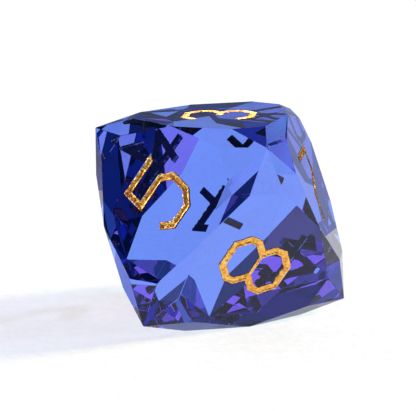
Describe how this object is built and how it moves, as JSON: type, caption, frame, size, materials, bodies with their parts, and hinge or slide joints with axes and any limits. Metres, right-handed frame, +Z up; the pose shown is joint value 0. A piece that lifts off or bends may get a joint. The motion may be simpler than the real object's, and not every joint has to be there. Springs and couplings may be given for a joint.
{
  "type": "polyhedral die",
  "caption": "Faceted glass gaming die: an octahedron with tapered edge bevels, ground corners and engraved angular numerals lined with gold paint.",
  "frame": {"origin": "on the resting plane, below the centre of the die as it lies on its 6 face", "axes": "+Z up out of the 3 face, +X from the die's centre towards the low corner shared by faces 4, 6, 7 and 8, +Y completes the right-handed frame"},
  "size_m": [0.0186, 0.0184, 0.015],
  "materials": {
    "tinted_glass": "polished",
    "gold_paint": "metallic"
  },
  "bodies": {
    "root": {"crystal_body": "tinted_glass", "numeral_1": "gold_paint", "numeral_2": "gold_paint", "numeral_3": "gold_paint", "numeral_4": "gold_paint", "numeral_5": "gold_paint", "numeral_6": "gold_paint", "numeral_7": "gold_paint", "numeral_8": "gold_paint"}
  },
  "joints": []
}
